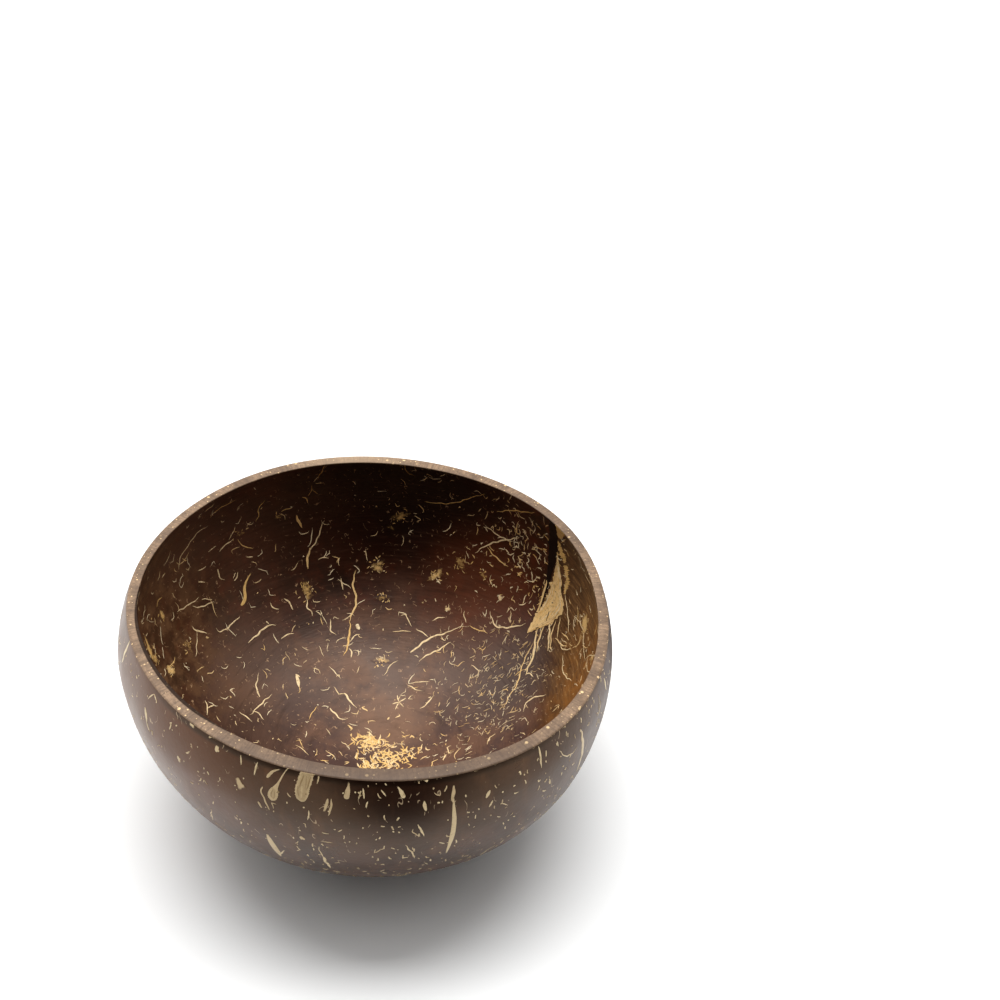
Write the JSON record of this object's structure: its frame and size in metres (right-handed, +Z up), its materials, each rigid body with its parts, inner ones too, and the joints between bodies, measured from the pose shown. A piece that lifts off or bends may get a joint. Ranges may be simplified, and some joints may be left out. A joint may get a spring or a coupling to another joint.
{
  "type": "coconut shell bowl",
  "caption": "Open round bowl made from half a coconut shell, with a sloping sawn rim, a flat ground foot and pale fibre strands in a polished dark wall.",
  "frame": {"origin": "point of the flat foot straight below the pole of the nut, on the surface that the bowl stands on", "axes": "+Z up out of the bowl, +X towards the side where the sawn rim is lowest, -Y towards the viewer of the picture"},
  "size_m": [0.1339, 0.1406, 0.0707],
  "materials": {
    "shell": "sanded, polished and oiled coconut shell",
    "fibre": "sanded and oiled plant fibre, satin"
  },
  "bodies": {
    "root": {"shell": "shell", "inner_strands": "fibre", "outer_strands": "fibre", "wedge_bundle": "fibre", "pole_tuft": "fibre"}
  },
  "joints": []
}
